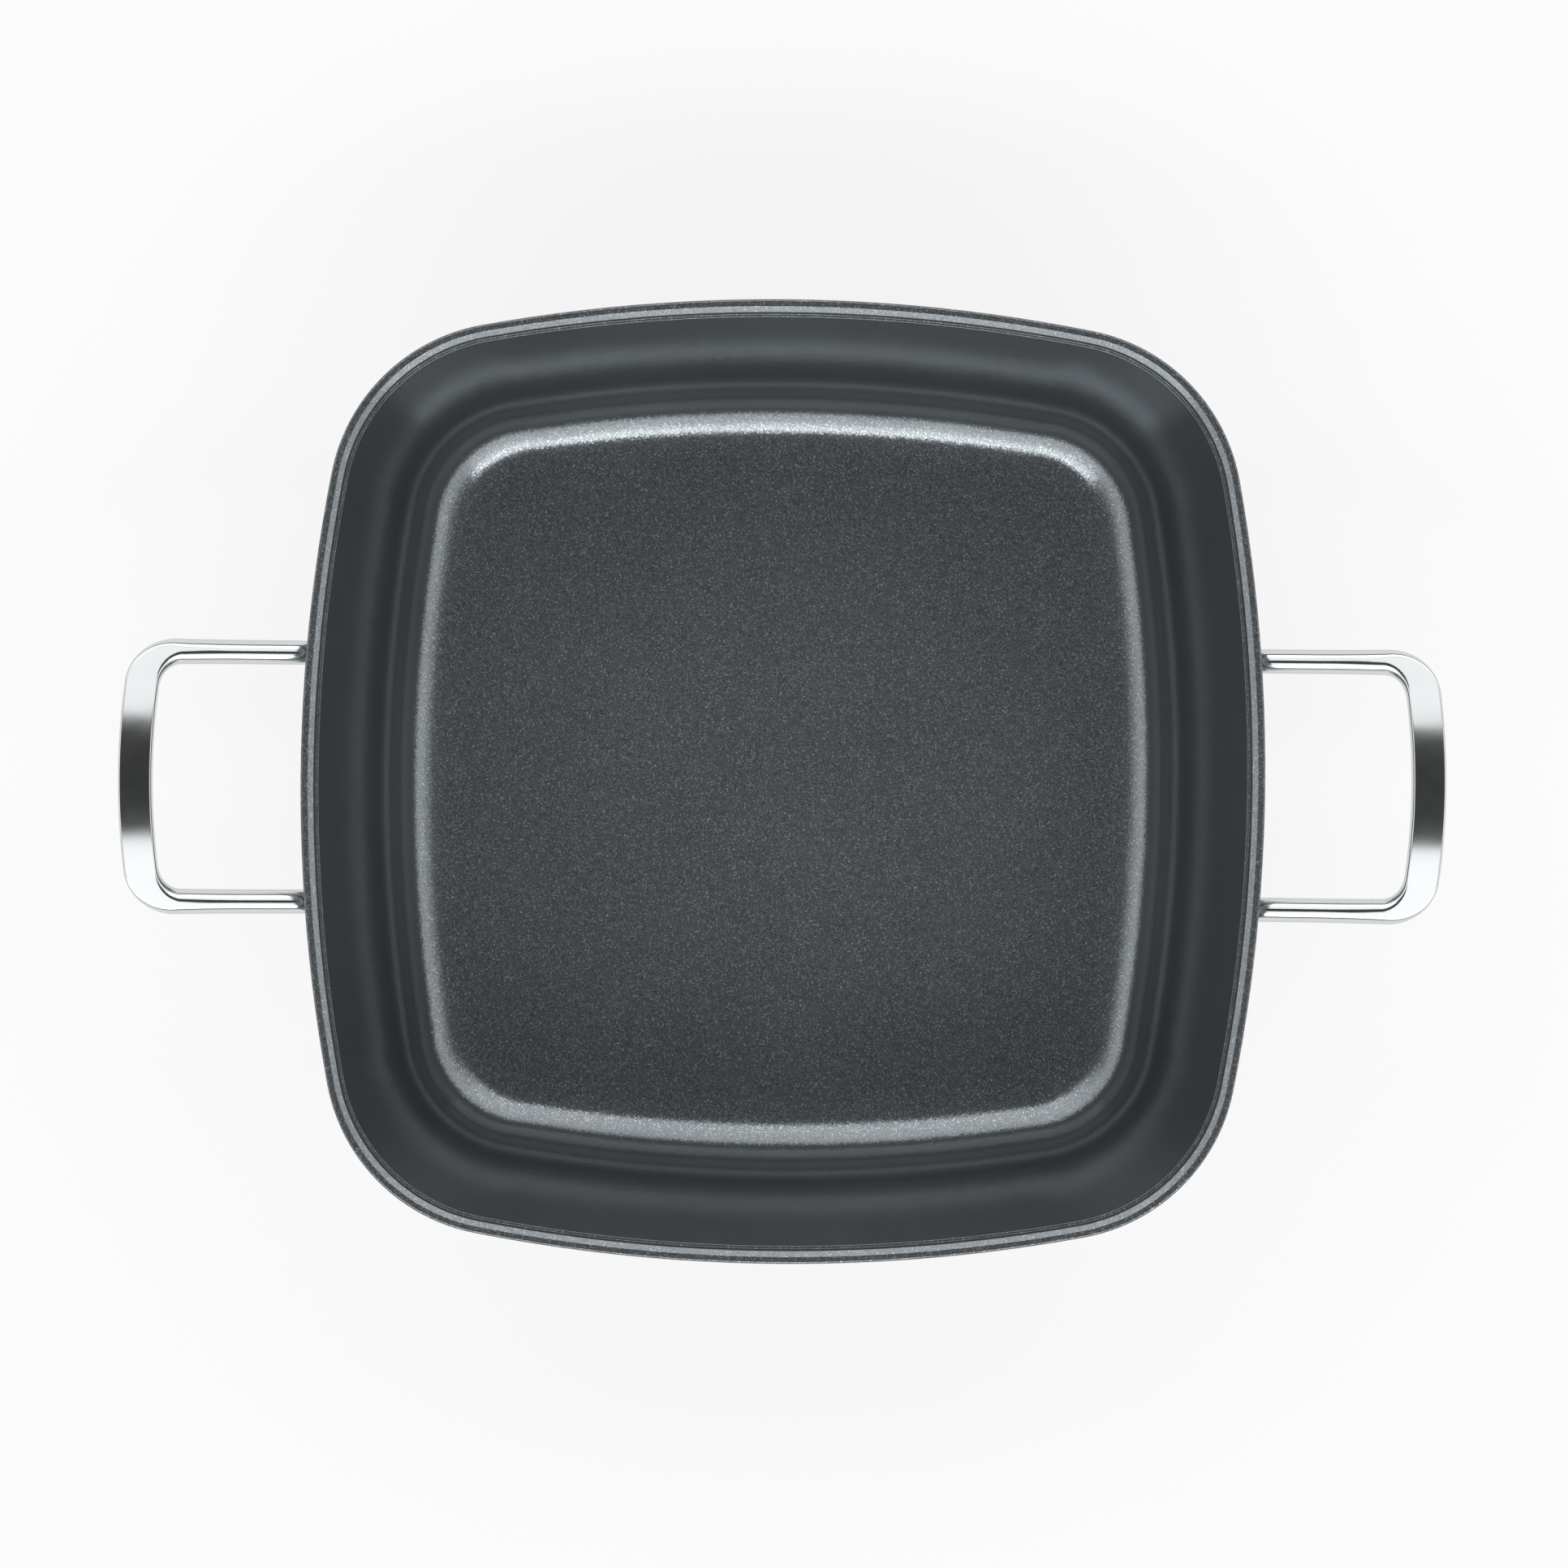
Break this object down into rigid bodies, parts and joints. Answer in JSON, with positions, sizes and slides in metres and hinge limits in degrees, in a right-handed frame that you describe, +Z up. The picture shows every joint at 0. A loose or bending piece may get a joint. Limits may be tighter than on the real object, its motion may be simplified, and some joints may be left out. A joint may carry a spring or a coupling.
{
  "type": "square pan",
  "caption": "Square cast pan with bowed sides, rounded corners, deep sloping walls, a dark flaked non-stick coating and fixed bent-bar steel loop handles.",
  "frame": {"origin": "middle of the underside, on the plane that the pan stands on", "axes": "+X from the middle towards the right handle, +Y across the pan, +Z up"},
  "size_m": [0.392, 0.284, 0.08],
  "materials": {
    "coated_aluminium": "satin non-stick coating with pale flakes",
    "polished_steel": "polished",
    "base_steel": "brushed",
    "screw_steel": "plain",
    "spring_steel": "plain"
  },
  "bodies": {
    "root": {"pan_body": "coated_aluminium", "induction_base": "base_steel", "handle_left": "polished_steel", "handle_right": "polished_steel", "screw_left_front": "screw_steel", "screw_left_back": "screw_steel", "screw_right_front": "screw_steel", "screw_right_back": "screw_steel", "lock_washer_left_front": "spring_steel", "lock_washer_left_back": "spring_steel", "lock_washer_right_front": "spring_steel", "lock_washer_right_back": "spring_steel"}
  },
  "joints": []
}
